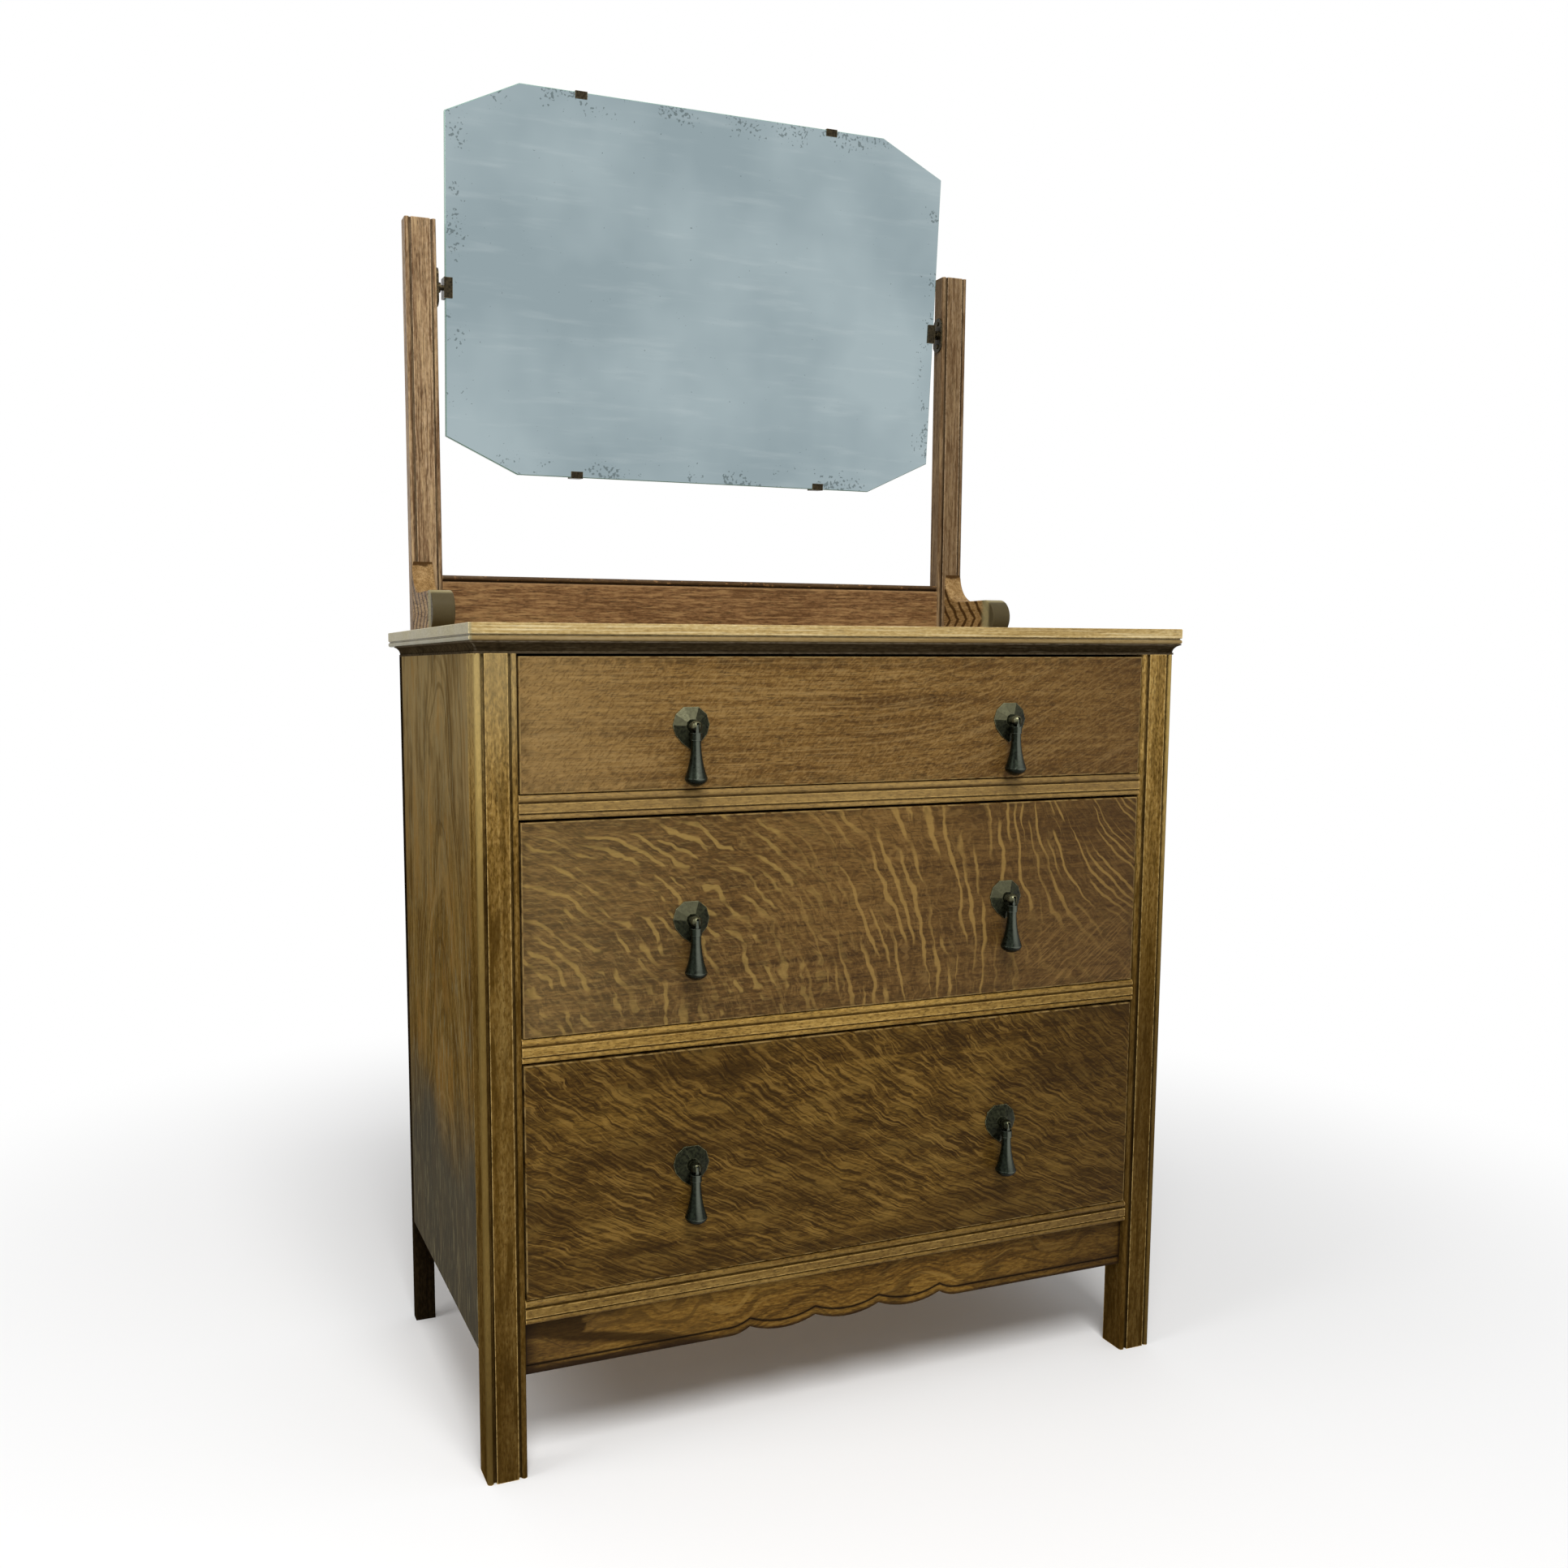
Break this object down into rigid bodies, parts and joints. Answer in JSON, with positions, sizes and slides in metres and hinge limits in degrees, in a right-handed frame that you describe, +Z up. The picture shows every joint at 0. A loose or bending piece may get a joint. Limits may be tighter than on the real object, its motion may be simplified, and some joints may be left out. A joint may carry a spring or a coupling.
{
  "type": "dressing chest",
  "caption": "Oak dressing chest of long graduated drawers with drop pulls, a scalloped apron and a cut-corner swing mirror between standards.",
  "frame": {"origin": "on the floor, in the middle of the overall width and depth", "axes": "+X to the right as seen from the front, -Y towards the user, +Z up"},
  "size_m": [0.762, 0.437, 1.3932],
  "materials": {
    "drawer_face": "quarter-sawn oak, stained golden brown, satin varnish",
    "oak_frame": "plain-sawn oak, stained, satin varnish",
    "oak_side": "oak panel with vertical grain, darker and greyed",
    "oak_top": "oak top, paler, worn satin varnish",
    "inner_wood": "bare softwood of the insides and the back",
    "antique_metal": "cast metal with a dark antique finish",
    "mirror_silver": "silvered glass with a ground edge"
  },
  "bodies": {
    "carcass": {"apron": "oak_frame", "back_panel": "inner_wood", "back_rail_lower": "inner_wood", "back_rail_upper": "inner_wood", "bottom_rail": "oak_frame", "bracket_foot_left": "oak_frame", "bracket_foot_right": "oak_frame", "drawer_rail_lower": "oak_frame", "drawer_rail_upper": "oak_frame", "drawer_runners_left": "inner_wood", "drawer_runners_right": "inner_wood", "front_post_left": "oak_frame", "front_post_right": "oak_frame", "mirror_rail": "oak_frame", "mirror_standard_left": "oak_frame", "mirror_standard_right": "oak_frame", "pivot_plate_left": "antique_metal", "pivot_plate_right": "antique_metal", "pivot_screws": "antique_metal", "rear_post_left": "oak_frame", "rear_post_right": "oak_frame", "side_panel_left": "oak_side", "side_panel_right": "oak_side", "top_board": "oak_top", "top_frame_front": "oak_frame", "top_frame_left": "oak_frame", "top_frame_right": "oak_frame"},
    "mirror": {"mirror_glass": "mirror_silver", "mirror_board": "inner_wood", "mirror_clips": "antique_metal", "mirror_pivot_left": "antique_metal", "mirror_pivot_right": "antique_metal"},
    "upper_drawer": {"upper_drawer_front": "drawer_face", "upper_drawer_side_left": "inner_wood", "upper_drawer_side_right": "inner_wood", "upper_drawer_bottom": "inner_wood", "upper_drawer_back": "inner_wood", "upper_handle_plates": "antique_metal", "upper_pull_posts": "antique_metal"},
    "upper_pull_left": {"upper_pull_left": "antique_metal"},
    "upper_pull_right": {"upper_pull_right": "antique_metal"},
    "middle_drawer": {"middle_drawer_front": "drawer_face", "middle_drawer_side_left": "inner_wood", "middle_drawer_side_right": "inner_wood", "middle_drawer_bottom": "inner_wood", "middle_drawer_back": "inner_wood", "middle_handle_plates": "antique_metal", "middle_pull_posts": "antique_metal"},
    "middle_pull_left": {"middle_pull_left": "antique_metal"},
    "middle_pull_right": {"middle_pull_right": "antique_metal"},
    "lower_drawer": {"lower_drawer_front": "drawer_face", "lower_drawer_side_left": "inner_wood", "lower_drawer_side_right": "inner_wood", "lower_drawer_bottom": "inner_wood", "lower_drawer_back": "inner_wood", "lower_handle_plates": "antique_metal", "lower_pull_posts": "antique_metal"},
    "lower_pull_left": {"lower_pull_left": "antique_metal"},
    "lower_pull_right": {"lower_pull_right": "antique_metal"}
  },
  "joints": [
    {"name": "upper_drawer_slide", "type": "slide", "parent": "carcass", "child": "upper_drawer", "axis": [0, -1, 0], "range_m": [0, 0.28]},
    {"name": "middle_drawer_slide", "type": "slide", "parent": "carcass", "child": "middle_drawer", "axis": [0, -1, 0], "range_m": [0, 0.28]},
    {"name": "lower_drawer_slide", "type": "slide", "parent": "carcass", "child": "lower_drawer", "axis": [0, -1, 0], "range_m": [0, 0.28]},
    {"name": "upper_pull_left_swing", "type": "hinge", "parent": "upper_drawer", "child": "upper_pull_left", "pos_m": [-0.173, -0.20783, 0.69747], "axis": [-1, 0, 0], "range_deg": [-2, 85]},
    {"name": "upper_pull_right_swing", "type": "hinge", "parent": "upper_drawer", "child": "upper_pull_right", "pos_m": [0.173, -0.20783, 0.69747], "axis": [-1, 0, 0], "range_deg": [-2, 85]},
    {"name": "middle_pull_left_swing", "type": "hinge", "parent": "middle_drawer", "child": "middle_pull_left", "pos_m": [-0.173, -0.20783, 0.5166], "axis": [-1, 0, 0], "range_deg": [-2, 85]},
    {"name": "middle_pull_right_swing", "type": "hinge", "parent": "middle_drawer", "child": "middle_pull_right", "pos_m": [0.173, -0.20783, 0.5166], "axis": [-1, 0, 0], "range_deg": [-2, 85]},
    {"name": "lower_pull_left_swing", "type": "hinge", "parent": "lower_drawer", "child": "lower_pull_left", "pos_m": [-0.173, -0.20783, 0.28079], "axis": [-1, 0, 0], "range_deg": [-2, 85]},
    {"name": "lower_pull_right_swing", "type": "hinge", "parent": "lower_drawer", "child": "lower_pull_right", "pos_m": [0.173, -0.20783, 0.28079], "axis": [-1, 0, 0], "range_deg": [-2, 85]},
    {"name": "mirror_tilt", "type": "hinge", "parent": "carcass", "child": "mirror", "pos_m": [0, 0.19467, 1.17], "axis": [1, 0, 0], "range_deg": [-55, 45]}
  ]
}
